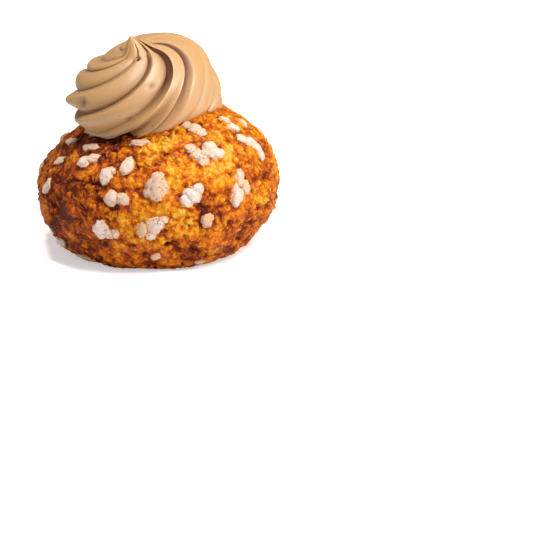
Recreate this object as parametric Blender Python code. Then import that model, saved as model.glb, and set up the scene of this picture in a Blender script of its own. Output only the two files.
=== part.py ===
"""A baked choux bun set with pearl sugar, and a piped swirl of coffee cream on its crown.

Two solids: the bun, whose sugar nibs are baked onto its crust, and the cream, which lies on
the crust and follows it.  The bun stands on its flat base at z = 0, the origin is the middle
of that base, +Z is up and the side that faces the eye is -Y.  Lengths are in metres.
"""

import math
import random

import bmesh
import bpy
from mathutils import Matrix, Vector, noise

MM = 0.001

# Bun, measured from the level where it is widest.  The offset puts its outline round the origin.
BUN_HALF_WIDTH = 35.6 * MM
BUN_HALF_DEPTH = 34.4 * MM
BUN_RISE = 25.0 * MM
BUN_DROP = 26.5 * MM
BUN_SIT = 16.6 * MM
BASE_ROUNDING = 1.8 * MM
BUN_OFFSET = Vector((-0.4, -0.3, 0)) * MM
BUN_SPHERE_STEPS = 5

# Broad swells that make the bun uneven: bearing round it from the front and angle above the
# widest level, in degrees, how many degrees each spreads, and how far it stands out.
SWELLS = (
    (62.0, 42.0, 30.0, 2.4 * MM),
    (40.0, 50.0, 18.0, 1.5 * MM),
    (-60.0, 48.0, 15.0, 1.2 * MM),
    (-86.0, 38.0, 30.0, -6.0 * MM),
    (-30.0, 12.0, 24.0, -0.8 * MM),
    (85.0, -25.0, 26.0, -2.6 * MM),
    (-80.0, -26.0, 26.0, -1.3 * MM),
    (150.0, 20.0, 34.0, 1.2 * MM),
    (-140.0, -5.0, 30.0, 0.8 * MM),
)

# Crust relief, from large lumps to small: the span of a lump and its height.
LUMPS = ((13.0 * MM, 0.9 * MM), (5.5 * MM, 0.75 * MM))

# Sugar nibs on the side that is seen: bearing and rise in degrees, then length, width and
# the slant of the length up to the right, in degrees.
SEEN_NIBS = (
    (-22, 10, 3.8 * MM, 3.7 * MM, 0),
    (-16, 10, 4.6 * MM, 2.9 * MM, -8),
    (-27, 20, 4.5 * MM, 4.2 * MM, 0),
    (-24, 23, 2.4 * MM, 2.2 * MM, 0),
    (-16, 26, 5.0 * MM, 3.3 * MM, 80),
    (-44, 25, 4.0 * MM, 3.2 * MM, 0),
    (-39, 28, 4.2 * MM, 2.4 * MM, 20),
    (-50, 34, 6.4 * MM, 2.8 * MM, 10),
    (-77, 19, 4.4 * MM, 3.4 * MM, 40),
    (-68, 7, 5.0 * MM, 4.6 * MM, 80),
    (-92, 29, 4.6 * MM, 3.0 * MM, 20),
    (-12, 40, 5.2 * MM, 2.6 * MM, -6),
    (0, 15, 6.3 * MM, 5.9 * MM, 80),
    (1, 21, 3.4 * MM, 2.6 * MM, 10),
    (14, 9, 3.8 * MM, 3.7 * MM, 0),
    (17, 11, 5.0 * MM, 4.9 * MM, 30),
    (20, 14, 2.9 * MM, 2.8 * MM, 0),
    (22, 34, 3.4 * MM, 2.6 * MM, -20),
    (24, 30, 3.8 * MM, 3.2 * MM, -40),
    (26, 27, 3.4 * MM, 3.0 * MM, 0),
    (29, 30, 4.4 * MM, 2.6 * MM, 20),
    (33, 33, 3.8 * MM, 3.0 * MM, 0),
    (34, 29, 4.6 * MM, 3.6 * MM, 0),
    (26, 48, 2.9 * MM, 2.4 * MM, -30),
    (29, 45, 3.8 * MM, 3.1 * MM, -30),
    (32, 41, 2.8 * MM, 2.4 * MM, 0),
    (56, 44, 4.2 * MM, 2.7 * MM, -30),
    (58, 39, 4.2 * MM, 3.0 * MM, -40),
    (57, 32, 4.0 * MM, 2.8 * MM, -30),
    (62, 29, 5.0 * MM, 3.2 * MM, -30),
    (64, 25, 4.4 * MM, 3.3 * MM, -60),
    (63, 21, 3.0 * MM, 2.8 * MM, 90),
    (80, 37, 5.0 * MM, 3.2 * MM, -30),
    (43, 15, 5.0 * MM, 3.3 * MM, 80),
    (39, 8, 5.6 * MM, 4.8 * MM, 80),
    (46, 10, 3.8 * MM, 2.8 * MM, 85),
    (23, -1, 3.9 * MM, 3.2 * MM, 80),
    (-27, -5, 4.8 * MM, 4.4 * MM, 80),
    (-24, -7, 3.4 * MM, 3.0 * MM, 0),
    (-20, -7, 2.8 * MM, 2.6 * MM, 0),
    (-7, -4, 4.2 * MM, 3.0 * MM, 80),
    (-1, -2, 5.0 * MM, 4.7 * MM, 60),
    (-3, -7, 2.8 * MM, 2.6 * MM, 0),
    (3, 1, 2.6 * MM, 2.4 * MM, 0),
    (-1, -20, 2.8 * MM, 2.1 * MM, 0),
    (-44, -27, 5.8 * MM, 2.8 * MM, 0),
    (-60, -20, 3.9 * MM, 3.6 * MM, 80),
    (23, -26, 2.8 * MM, 2.0 * MM, 0),
)

# Sugar nibs on the far side are strewn by a seeded draw, as thick as on the side that is seen.
FAR_NIBS = 26
FAR_BEARINGS = (92.0, 262.0)
FAR_RISES = (-24.0, 44.0)
FAR_LENGTHS = (3.8 * MM, 7.0 * MM)
FAR_SPACING = 6.4 * MM
CREAM_CLEARANCE = 4.5 * MM
FAR_SEED = 11
NIB_SLENDERNESS = (0.62, 0.9)
NIB_FLARE = 1.12
NIB_THICKNESS = 0.62
NIB_PROUD = 0.36
NIB_UNEVENNESS = 0.16
NIB_SIDES, NIB_TIERS = 6, 4
NIB_SEED = 5

# Cream swirl.  Its own upright leans to the left and towards the eye, as the crown slopes.
FLUTES = 8
LOW, MIDDLE, HIGH = 0.2, 0.5, 0.8

# The cream's grooves at the low, middle and high climb: where they run, in flutes round, how
# deep they are, how far on the next crest stands, in flutes, and how round the cream is after
# and before them.
GROOVES = (
    # where              depth, mm        crest              after            before
    ((-0.02, -0.33, -0.62), (2.2, 4.0, 4.4), (0.30, 0.28, 0.28), (1.0, 1.3, 1.5), (2.0, 5.0, 6.0)),
    ((0.80, 0.50, 0.35), (1.6, 1.6, 1.6), (0.40, 0.30, 0.20), (1.0, 1.0, 1.5), (1.0, 1.5, 2.0)),
    ((1.70, 1.55, 1.50), (2.6, 2.6, 2.0), (0.50, 0.35, 0.20), (2.0, 2.0, 1.5), (2.0, 2.0, 2.0)),
    ((2.60, 2.45, 2.50), (2.6, 2.6, 2.4), (0.35, 0.20, 0.10), (1.0, 1.0, 1.5), (1.0, 1.5, 2.0)),
    ((3.25, 3.25, 3.50), (2.8, 2.8, 2.6), (0.35, 0.20, 0.10), (1.0, 1.0, 1.5), (1.0, 1.5, 2.0)),
    ((3.85, 3.85, 4.05), (3.2, 3.2, 2.4), (0.30, 0.12, 0.10), (1.0, 1.0, 1.5), (2.0, 1.5, 2.0)),
    ((4.72, 4.74, 5.00), (3.6, 3.4, 2.6), (0.35, 0.10, 0.10), (0.8, 1.0, 1.0), (2.5, 1.5, 2.0)),
    ((5.40, 5.93, 6.06), (3.8, 4.0, 4.2), (0.50, 0.10, 0.10), (2.0, 1.0, 1.0), (0.6, 2.0, 2.0)),
    ((6.25, 7.02, 6.84), (2.2, 4.4, 5.0), (0.80, 0.10, 0.10), (2.0, 1.0, 1.0), (2.0, 2.0, 2.2)),
    ((7.60, 7.42, 7.25), (3.0, 0.3, 0.0), (0.25, 0.20, 0.10), (1.0, 1.0, 1.0), (1.5, 2.0, 2.0)),
)

RISE_SHARE = 0.125
WIDEST_RISE = 0.7
DEEPEST_SHARE = 0.4

# Where ribs stand further out or in: flute, climb, flutes across, climb across and share.
RIB_SWELLS = (
    (5.02, 0.35, 0.22, 0.08, 0.05),
    (5.90, 0.16, 0.50, 0.10, -0.06),
    (2.70, 0.70, 0.60, 0.15, -0.22),
    (2.05, 0.05, 0.35, 0.10, 0.045),
    (2.10, -0.12, 0.60, 0.12, -0.045),
)

SWIRL_RADIUS = 21.5 * MM
SWIRL_HEIGHT = 18.9 * MM
SWIRL_FOOT = Vector((-2.5, 0.0, 38.5)) * MM
LEAN_LEFT = math.radians(17.6)
LEAN_FRONT = math.radians(17.5)
TIP_DRIFT = Vector((3.9, 2.7)) * MM
DRIFT_POWER = 2.0
SHOULDER_POWER = 4.6
SHOULDER_ROUNDING = 1.5
FIRST_CREST = math.radians(67.0)
TWIST = math.radians(173.0)
LOWEST_CLIMB = -0.5
TUCK = 0.22
PEAK_SPAN = 5.5 * MM
PEAK_RISE = 3.8 * MM
PEAK_DRIFT = Vector((-1.6, 0.4)) * MM

# Where the cream meets the crust its edge rolls under, its grooves fill and its crests sweep on.
FOOT_ROUNDING = 3.2 * MM
FOOT_FILL = 0.15
FOOT_SPAN = 7.0 * MM
FOOT_SWEEP = math.radians(14.0)
POINTS_PER_RIB = 8
SWIRL_RINGS = 28

CREAM_GAP = 0.3 * MM
WELD = 0.01 * MM

CRUST_COLOUR = (0.46, 0.17, 0.035)
CRUST_ROUGHNESS = 0.55
CREAM_COLOUR = (0.55, 0.36, 0.2)
CREAM_ROUGHNESS = 0.4


def way_at(bearing, rise):
    """Unit vector at a bearing from the front, positive to the right, and an angle upwards."""
    turn, up = math.radians(bearing), math.radians(rise)
    return Vector((math.sin(turn) * math.cos(up), -math.cos(turn) * math.cos(up), math.sin(up)))


def crust_point(way, proud=0.0):
    """The crust's point in the direction `way` from the middle of the bun's widest level."""
    height = BUN_RISE if way.z > 0 else BUN_DROP
    half = Vector((BUN_HALF_WIDTH, BUN_HALF_DEPTH, height))
    reach = 1 / math.sqrt(sum((w / h) ** 2 for w, h in zip(way, half)))
    for bearing, rise, spread, amount in SWELLS:
        away = way.angle(way_at(bearing, rise)) / math.radians(spread)
        reach += amount * math.exp(-away * away)
    smooth = way * reach
    for span, amount in LUMPS:
        reach += amount * noise.noise(smooth / span)
    return way * (reach + proud)


def above_crust(point):
    """How far a point stands above the crust, seen from the middle of the bun's widest level."""
    way = point - BUN_OFFSET - Vector((0, 0, BUN_SIT))
    return way.length - crust_point(way.normalized()).length


def standing(point):
    """The point raised so that the underside is pressed flat at z = 0, round a soft edge."""
    height = point.z + BUN_SIT
    if height < -BASE_ROUNDING:
        height = 0.0
    elif height < BASE_ROUNDING:
        height = (height + BASE_ROUNDING) ** 2 / (4 * BASE_ROUNDING)
    return Vector((point.x, point.y, height)) + BUN_OFFSET


def new_material(name, colour, roughness):
    """A plain finish for a solid."""
    material = bpy.data.materials.new(name)
    material.use_nodes = True
    shader = material.node_tree.nodes["Principled BSDF"]
    shader.inputs["Base Color"].default_value = (*colour, 1)
    shader.inputs["Roughness"].default_value = roughness
    return material


def new_object(name, bm, collection=None):
    """An object made from a bmesh, which is used up."""
    mesh = bpy.data.meshes.new(name)
    bm.to_mesh(mesh)
    bm.free()
    obj = bpy.data.objects.new(name, mesh)
    (collection or bpy.context.scene.collection).objects.link(obj)
    return obj


def apply_modifiers(obj):
    """Gives the object the mesh that its modifiers make, and takes them off."""
    graph = bpy.context.evaluated_depsgraph_get()
    made = bpy.data.meshes.new_from_object(obj.evaluated_get(graph))
    obj.modifiers.clear()
    obj.data = made


def shade_round(obj, sharpest):
    """Shades the object smooth, with a crease where faces meet at more than this angle."""
    obj.data.shade_smooth()
    obj.data.set_sharp_from_angle(angle=math.radians(sharpest))


def bun_shell(name, proud=0.0):
    """The bun's closed crust, or one grown by `proud` all over."""
    bm = bmesh.new()
    bmesh.ops.create_icosphere(bm, subdivisions=BUN_SPHERE_STEPS, radius=1)
    for vert in bm.verts:
        vert.co = standing(crust_point(vert.co.normalized(), proud))
    return new_object(name, bm)


def nib_seat(bearing, rise, slant):
    """Matrix of a nib's place: X along the nib, Z straight out of the crust."""
    step = 3.0
    here = standing(crust_point(way_at(bearing, rise)))
    across = standing(crust_point(way_at(bearing + step, rise))) - here
    upward = standing(crust_point(way_at(bearing, rise + step))) - here
    out = across.cross(upward).normalized()
    along = Matrix.Rotation(math.radians(slant), 3, out) @ across.normalized()
    along = (along - out * along.dot(out)).normalized()
    turned = Matrix((along, out.cross(along), out)).transposed()
    return Matrix.Translation(here) @ turned.to_4x4()


def add_nib(collection, draw, bearing, rise, length, width, slant):
    """One uneven sugar nib, whose part above the crust is about this long and wide."""
    length, width = length * NIB_FLARE, width * NIB_FLARE
    thickness = NIB_THICKNESS * width
    bm = bmesh.new()
    bmesh.ops.create_uvsphere(bm, u_segments=NIB_SIDES, v_segments=NIB_TIERS, radius=0.5)
    for vert in bm.verts:
        vert.co *= 1 + draw.uniform(-NIB_UNEVENNESS, NIB_UNEVENNESS)
    bmesh.ops.scale(bm, vec=(length, width, thickness), verts=bm.verts)
    bmesh.ops.translate(bm, vec=(0, 0, (NIB_PROUD - 0.5) * thickness), verts=bm.verts)
    bmesh.ops.transform(bm, matrix=nib_seat(bearing, rise, slant), verts=bm.verts)
    return new_object("nib", bm, collection)


def far_nibs():
    """Bearing, rise, length, width and slant of the nibs on the far side, which keep apart
    and clear of the cream."""
    draw = random.Random(FAR_SEED)
    spots, nibs = [], []
    while len(nibs) < FAR_NIBS:
        bearing, rise = draw.uniform(*FAR_BEARINGS), draw.uniform(*FAR_RISES)
        length, slant = draw.uniform(*FAR_LENGTHS), draw.uniform(-90, 90)
        width = length * draw.uniform(*NIB_SLENDERNESS)
        spot = standing(crust_point(way_at(bearing, rise)))
        if (spot - SWIRL_FOOT).xy.length < SWIRL_RADIUS + CREAM_CLEARANCE:
            continue
        if all((spot - other).length > FAR_SPACING for other in spots):
            spots.append(spot)
            nibs.append((bearing, rise, length, width, slant))
    return nibs


def build_bun():
    """The bun with its sugar nibs joined to the crust."""
    bun = bun_shell("choux_bun")
    nibs = bpy.data.collections.new("nibs")
    bpy.context.scene.collection.children.link(nibs)
    draw = random.Random(NIB_SEED)
    for nib in (*SEEN_NIBS, *far_nibs()):
        add_nib(nibs, draw, *nib)
    union = bun.modifiers.new("nibs baked on", "BOOLEAN")
    union.operation = "UNION"
    union.operand_type = "COLLECTION"
    union.collection = nibs
    union.solver = "MANIFOLD"
    apply_modifiers(bun)
    for nib in list(nibs.objects):
        bpy.data.objects.remove(nib)
    bpy.data.collections.remove(nibs)
    shade_round(bun, 40)
    bun.data.materials.clear()
    bun.data.materials.append(new_material("baked crust", CRUST_COLOUR, CRUST_ROUGHNESS))
    return bun


def swirl_frame():
    """Matrix of the swirl's own frame: its foot, and its upright as it leans."""
    upright = Vector((-math.sin(LEAN_LEFT), -math.sin(LEAN_FRONT), 1)).normalized()
    right = Vector((1, 0, 0))
    right = (right - upright * right.dot(upright)).normalized()
    turned = Matrix((right, upright.cross(right), upright)).transposed()
    return Matrix.Translation(SWIRL_FOOT) @ turned.to_4x4()


def between(values, climb):
    """A value that runs smoothly through those at the low, middle and high climb."""
    low, middle, high = values
    step = (min(0.9, max(0.1, climb)) - MIDDLE) / (HIGH - MIDDLE)
    return middle + step * (high - low) / 2 + step * step * ((high + low) / 2 - middle)


def flank(down, roundness):
    """How far down a rib's side is, from 0 at its crest to 1 at the groove's bottom."""
    return down**roundness if roundness > 1 else 1 - (1 - down) ** (1 / max(0.5, roundness))


def rib_span(climb, index):
    """Where a rib starts, has its crest and ends, in flutes round the cream."""
    ends = []
    for which in (index, index + 1):
        rounds, groove = divmod(which, len(GROOVES))
        ends.append(FLUTES * rounds + between(GROOVES[groove][0], climb))
    start, end = ends
    rise = min(between(GROOVES[index % len(GROOVES)][2], climb), WIDEST_RISE * (end - start))
    return start, start + rise, end


def rib_form(climb, rib):
    """Where round the cream a line along a rib runs, in flutes, and how deep it lies: `rib` is
    whole at a groove's bottom, from where it rises to the crest and falls to the next groove."""
    index, part = int(rib), rib % 1.0
    start, crest, end = rib_span(climb, index)
    before, after = (GROOVES[which % len(GROOVES)] for which in (index, index + 1))
    if part < RISE_SHARE:
        down = 1 - part / RISE_SHARE
        flute, deepest, roundness = crest + (start - crest) * down, before[1], before[3]
    else:
        down = math.sin(math.pi / 2 * (part - RISE_SHARE) / (1 - RISE_SHARE))
        flute, deepest, roundness = crest + (end - crest) * down, after[1], after[4]
    down = flank(down, between(roundness, climb))
    return flute, max(0.0, between(deepest, climb)) * MM * down


def cream_point(frame, climb, rib):
    """A point of the cream: `climb` is 0 at the foot and 1 at the tip, and `rib` goes round
    from groove to groove."""
    lift = math.sin(climb * math.pi / 2)
    reach = SWIRL_RADIUS * (1 - TUCK * lift * lift)
    middle = Vector((0, 0, SWIRL_HEIGHT * lift))
    if climb > 0:
        reach = SWIRL_RADIUS * max(0.0, 1 - lift**SHOULDER_POWER) ** (1 / SHOULDER_ROUNDING)
        peak = max(0.0, 1 - reach / PEAK_SPAN) ** 2
        middle += (TIP_DRIFT * climb**DRIFT_POWER + PEAK_DRIFT * peak).to_3d()
        middle.z += PEAK_RISE * peak
    flute, groove = rib_form(climb, rib)
    bearing = FIRST_CREST + 2 * math.pi * flute / FLUTES - TWIST * (1 - climb)
    outward = Vector((math.cos(bearing), math.sin(bearing), 0))
    clear = above_crust(frame @ (middle + outward * reach))
    near = min(1.0, max(0.0, 1 - clear / FOOT_SPAN))
    nearer = min(1.0, max(0.0, 1 - clear / FOOT_ROUNDING))
    groove = min(groove, DEEPEST_SHARE * reach)
    reach -= groove * (1 - FOOT_FILL * near) + FOOT_ROUNDING * (1 - math.sqrt(1 - nearer**2))
    for around, high, wide, tall, share in RIB_SWELLS:
        away = (flute - around + FLUTES / 2) % FLUTES - FLUTES / 2
        reach *= 1 + share * math.exp(-((away / wide) ** 2) - ((climb - high) / tall) ** 2)
    outward.rotate(Matrix.Rotation(-FOOT_SWEEP * near * near, 3, "Z"))
    return frame @ (middle + outward * reach)


def swirl_solid():
    """The cream before it is cut to the crust: the nozzle's star drawn up, turned and closed."""
    bm = bmesh.new()
    steps = len(GROOVES) * POINTS_PER_RIB
    bmesh.ops.create_circle(bm, cap_ends=True, segments=steps, radius=1)
    bmesh.ops.translate(bm, vec=(0, 0, LOWEST_CLIMB), verts=bm.verts)
    rim = bm.edges[:]
    for _ in range(SWIRL_RINGS):
        drawn = bmesh.ops.extrude_edge_only(bm, edges=rim)["geom"]
        rim = [item for item in drawn if isinstance(item, bmesh.types.BMEdge) and item.is_boundary]
        raised = [item for item in drawn if isinstance(item, bmesh.types.BMVert)]
        bmesh.ops.translate(bm, vec=(0, 0, (1 - LOWEST_CLIMB) / SWIRL_RINGS), verts=raised)
    frame = swirl_frame()
    for vert in bm.verts:
        turn = math.atan2(vert.co.y, vert.co.x) % (2 * math.pi)
        step = round(turn * steps / (2 * math.pi)) % steps
        vert.co = cream_point(frame, vert.co.z, step / POINTS_PER_RIB)
    bmesh.ops.remove_doubles(bm, verts=bm.verts, dist=WELD)
    bmesh.ops.recalc_face_normals(bm, faces=bm.faces)
    bmesh.ops.triangulate(bm, faces=bm.faces)
    return new_object("cream_swirl", bm)


def build_swirl():
    """The cream swirl, cut so that it follows the crust with a small gap."""
    swirl = swirl_solid()
    cutter = bun_shell("crust_cutter", CREAM_GAP)
    cutter.hide_render = True
    cutter.display_type = "WIRE"
    cut = swirl.modifiers.new("follow the crust", "BOOLEAN")
    cut.operation = "DIFFERENCE"
    cut.object = cutter
    shade_round(swirl, 60)
    swirl.data.materials.append(new_material("coffee cream", CREAM_COLOUR, CREAM_ROUGHNESS))
    return swirl


def clear_scene():
    """Removes what the scene holds before the model is made."""
    for obj in list(bpy.data.objects):
        bpy.data.objects.remove(obj)


def main():
    clear_scene()
    build_bun()
    build_swirl()


main()
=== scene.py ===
"""Looks of a cream puff: a baked choux bun set with pearl sugar, under a swirl of coffee cream.

Everything is in metres in the frame of the solids: the bun stands on z = 0 round the origin, +Z
is up and the side that faces the eye is -Y.  The form of the crust and of the cream follows the
solids, and finer relief, grains and finishes are added here.
"""

import collections
import math
import random

import bmesh
import bpy
from bpy.props import FloatProperty, FloatVectorProperty, IntProperty, PointerProperty
from mathutils import Matrix, Vector, kdtree, noise


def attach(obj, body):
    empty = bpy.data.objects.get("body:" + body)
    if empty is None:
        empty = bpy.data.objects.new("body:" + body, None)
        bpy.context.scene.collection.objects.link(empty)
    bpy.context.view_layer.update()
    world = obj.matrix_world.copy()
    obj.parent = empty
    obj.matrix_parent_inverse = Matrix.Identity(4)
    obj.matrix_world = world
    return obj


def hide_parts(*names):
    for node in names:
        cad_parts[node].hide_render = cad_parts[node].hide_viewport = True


bl_info = {
    "name": "Cream puff",
    "version": (1, 0, 0),
    "blender": (4, 5, 0),
    "location": "3D View > Sidebar > Cream puff",
    "description": "Makes the crust, pearl sugar and piped cream of a choux bun, and its studio",
    "category": "Object",
}

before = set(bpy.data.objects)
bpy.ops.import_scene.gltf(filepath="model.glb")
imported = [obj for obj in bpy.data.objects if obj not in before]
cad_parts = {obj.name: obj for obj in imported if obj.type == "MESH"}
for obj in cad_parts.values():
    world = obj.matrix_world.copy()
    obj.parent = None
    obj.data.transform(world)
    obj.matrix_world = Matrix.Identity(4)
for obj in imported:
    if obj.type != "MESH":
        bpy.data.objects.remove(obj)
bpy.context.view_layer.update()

MM = 0.001

# Form of the bun, as in the solids.
BUN_HALF_WIDTH = 35.6 * MM
BUN_HALF_DEPTH = 34.4 * MM
BUN_RISE = 25.0 * MM
BUN_DROP = 26.5 * MM
BUN_SIT = 16.6 * MM
BASE_ROUNDING = 1.8 * MM
BUN_OFFSET = Vector((-0.4, -0.3, 0)) * MM
# Swells and hollows of the crust: bearing, rise and spread in degrees, and height.
SWELLS = (
    (62.0, 42.0, 30.0, 2.4 * MM),
    (40.0, 50.0, 18.0, 1.5 * MM),
    (-60.0, 48.0, 15.0, 1.2 * MM),
    (-86.0, 38.0, 30.0, -6.0 * MM),
    (-30.0, 12.0, 24.0, -0.8 * MM),
    (85.0, -25.0, 26.0, -2.6 * MM),
    (-80.0, -26.0, 26.0, -1.3 * MM),
    (150.0, 20.0, 34.0, 1.2 * MM),
    (-140.0, -5.0, 30.0, 0.8 * MM),
)
# Lumps of the crust: span and height.
LUMPS = ((13.0 * MM, 0.9 * MM), (5.5 * MM, 0.75 * MM))

# Sugar nibs, as in the solids: bearing and rise in degrees, length, width, and slant in degrees.
SEEN_NIBS = (
    (-22, 10, 3.8 * MM, 3.7 * MM, 0),
    (-16, 10, 4.6 * MM, 2.9 * MM, -8),
    (-27, 20, 4.5 * MM, 4.2 * MM, 0),
    (-24, 23, 2.4 * MM, 2.2 * MM, 0),
    (-16, 26, 5.0 * MM, 3.3 * MM, 80),
    (-44, 25, 4.0 * MM, 3.2 * MM, 0),
    (-39, 28, 4.2 * MM, 2.4 * MM, 20),
    (-50, 34, 6.4 * MM, 2.8 * MM, 10),
    (-77, 19, 4.4 * MM, 3.4 * MM, 40),
    (-68, 7, 5.0 * MM, 4.6 * MM, 80),
    (-92, 29, 4.6 * MM, 3.0 * MM, 20),
    (-12, 40, 5.2 * MM, 2.6 * MM, -6),
    (0, 15, 6.3 * MM, 5.9 * MM, 80),
    (1, 21, 3.4 * MM, 2.6 * MM, 10),
    (14, 9, 3.8 * MM, 3.7 * MM, 0),
    (17, 11, 5.0 * MM, 4.9 * MM, 30),
    (20, 14, 2.9 * MM, 2.8 * MM, 0),
    (22, 34, 3.4 * MM, 2.6 * MM, -20),
    (24, 30, 3.8 * MM, 3.2 * MM, -40),
    (26, 27, 3.4 * MM, 3.0 * MM, 0),
    (29, 30, 4.4 * MM, 2.6 * MM, 20),
    (33, 33, 3.8 * MM, 3.0 * MM, 0),
    (34, 29, 4.6 * MM, 3.6 * MM, 0),
    (26, 48, 2.9 * MM, 2.4 * MM, -30),
    (29, 45, 3.8 * MM, 3.1 * MM, -30),
    (32, 41, 2.8 * MM, 2.4 * MM, 0),
    (56, 44, 4.2 * MM, 2.7 * MM, -30),
    (58, 39, 4.2 * MM, 3.0 * MM, -40),
    (57, 32, 4.0 * MM, 2.8 * MM, -30),
    (62, 29, 5.0 * MM, 3.2 * MM, -30),
    (64, 25, 4.4 * MM, 3.3 * MM, -60),
    (63, 21, 3.0 * MM, 2.8 * MM, 90),
    (80, 37, 5.0 * MM, 3.2 * MM, -30),
    (43, 15, 5.0 * MM, 3.3 * MM, 80),
    (39, 8, 5.6 * MM, 4.8 * MM, 80),
    (46, 10, 3.8 * MM, 2.8 * MM, 85),
    (23, -1, 3.9 * MM, 3.2 * MM, 80),
    (-27, -5, 4.8 * MM, 4.4 * MM, 80),
    (-24, -7, 3.4 * MM, 3.0 * MM, 0),
    (-20, -7, 2.8 * MM, 2.6 * MM, 0),
    (-7, -4, 4.2 * MM, 3.0 * MM, 80),
    (-1, -2, 5.0 * MM, 4.7 * MM, 60),
    (-3, -7, 2.8 * MM, 2.6 * MM, 0),
    (3, 1, 2.6 * MM, 2.4 * MM, 0),
    (-1, -20, 2.8 * MM, 2.1 * MM, 0),
    (-44, -27, 5.8 * MM, 2.8 * MM, 0),
    (-60, -20, 3.9 * MM, 3.6 * MM, 80),
    (23, -26, 2.8 * MM, 2.0 * MM, 0),
)
# Nibs on the far side, strewn by a seeded draw as thickly as on the side that is seen.
FAR_NIBS = 26
FAR_BEARINGS = (92.0, 262.0)
FAR_RISES = (-24.0, 44.0)
FAR_LENGTHS = (3.8 * MM, 7.0 * MM)
FAR_SPACING = 6.4 * MM
CREAM_CLEARANCE = 4.5 * MM
FAR_SEED = 11
NIB_SLENDERNESS = (0.62, 0.9)
# How much larger than those sizes a nib is, its thickness in parts of its width, how much of the
# thickness stands proud, and the step in degrees that its slope on the crust is taken over.
NIB_FLARE = 1.05
NIB_THICKNESS = 0.527
NIB_PROUD = 0.36
NIB_SLOPE_STEP = 3.0

# Form of the cream, as in the solids, with finer grooves.
FLUTES = 8
MIDDLE, HIGH = 0.5, 0.8
SHAPED_CLIMBS = (0.1, 0.9)
Groove = collections.namedtuple("Groove", "where depth crest after before dark")
# Each groove of the cream at climbs of 0.2, 0.5 and 0.8: where it runs, in flutes round, how deep
# it is in millimetres, how far on the next crest stands, in flutes, how round the cream is after
# and before it, and how much painted shade lies at its bottom and how sharp that bottom is. A
# crest that stands back hangs over it.
# SHAPED_CLIMBS are the lowest and highest climbs that these values are carried on to.
GROOVES = (
    Groove(
        (-0.02, -0.37, -0.68), (1.8, 2.8, 4.4), (0.30, 0.20, 0.30),
        (1.0, 1.0, 1.0), (1.2, 2.0, 5.0), (0.3, 1.2, 3.2),
    ),
    Groove(
        (0.80, 0.50, 0.35), (0.8, 0.7, 0.7), (0.40, 0.40, 0.30),
        (2.0, 2.0, 2.0), (2.0, 2.0, 2.0), (0.0, 0.0, 0.0),
    ),
    Groove(
        (1.70, 1.55, 1.50), (1.6, 1.3, 1.0), (0.50, 0.45, 0.40),
        (2.0, 2.0, 2.0), (2.0, 2.0, 2.0), (0.1, 0.1, 0.0),
    ),
    Groove(
        (2.60, 2.45, 2.50), (2.6, 2.6, 2.4), (0.35, 0.20, 0.10),
        (1.0, 1.0, 1.5), (1.0, 1.5, 2.0), (0.3, 0.3, 0.3),
    ),
    Groove(
        (3.25, 3.25, 3.50), (2.8, 2.8, 2.6), (0.35, 0.20, 0.10),
        (1.0, 1.0, 1.5), (1.0, 1.5, 2.0), (0.3, 0.3, 0.3),
    ),
    Groove(
        (3.85, 3.85, 4.05), (2.4, 2.6, 2.2), (0.30, 0.10, 0.05),
        (1.0, 1.0, 1.5), (2.0, 1.5, 2.0), (0.3, 0.4, 0.3),
    ),
    Groove(
        (4.72, 4.76, 5.05), (2.2, 2.4, 2.4), (0.35, 0.08, 0.02),
        (0.8, 1.0, 1.0), (2.5, 1.5, 2.0), (0.3, 0.4, 0.6),
    ),
    Groove(
        (5.40, 6.03, 6.22), (3.2, 2.6, 2.6), (0.50, -0.05, -0.12),
        (1.5, 1.0, 1.0), (0.6, 1.6, 2.4), (0.3, 0.6, 1.2),
    ),
    Groove(
        (6.70, 7.20, 7.03), (1.6, 3.3, 3.8), (0.55, -0.12, -0.20),
        (0.7, 1.0, 1.0), (1.2, 2.0, 1.9), (0.25, 1.0, 4.2),
    ),
    Groove(
        (7.66, 7.36, 7.20), (2.6, 0.4, 0.0), (0.25, 0.10, 0.05),
        (1.0, 1.5, 1.0), (0.6, 0.8, 2.0), (0.5, 0.1, 0.0),
    ),
)
# The share of a rib's points on its rising side, and the most of a rib that this side may be.
RISE_SHARE = 0.25
WIDEST_RISE = 0.7
# The deepest that a groove may be, in parts of the cream's reach.
DEEPEST_SHARE = 0.45
CREASE, CREASE_SHARPNESS = 0.6, 4
# How closely the painted shade of a groove keeps to its bottom on the rising and on the falling
# side.
PAINTED_SHADE_RISING, PAINTED_SHADE_FALLING = 0.55, 1.5
# Where ribs stand further out or in: flute, climb, flutes across, climb across and share.
RIB_SWELLS = (
    (5.02, 0.35, 0.22, 0.08, 0.05),
    (5.90, 0.16, 0.50, 0.10, -0.06),
    (2.70, 0.70, 0.60, 0.15, -0.22),
    (2.05, 0.05, 0.35, 0.10, 0.045),
    (2.10, -0.12, 0.60, 0.12, -0.045),
    (6.35, -0.02, 0.35, 0.14, -0.25),
)
SWIRL_RADIUS = 21.5 * MM
SWIRL_HEIGHT = 18.9 * MM
SWIRL_FOOT = Vector((-2.5, 0.0, 38.5)) * MM
LEAN_LEFT = math.radians(17.6)
LEAN_FRONT = math.radians(17.5)
TIP_DRIFT = Vector((3.9, 2.7)) * MM
DRIFT_POWER = 2.0
SHOULDER_POWER = 4.6
SHOULDER_ROUNDING = 1.5
FIRST_CREST = math.radians(67.0)
TWIST = math.radians(173.0)
TUCK = 0.22
PEAK_SPAN = 5.5 * MM
PEAK_BLUNTNESS = 1.35
PEAK_RISE = 3.8 * MM
PEAK_DRIFT = Vector((-1.6, 0.4)) * MM
SMOOTH_SPAN = 6.5 * MM
FOOT_ROUNDING = 3.2 * MM
FOOT_FILL = 0.15
FOOT_SPAN = 7.0 * MM
FOOT_SWEEP = math.radians(14.0)
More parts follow.
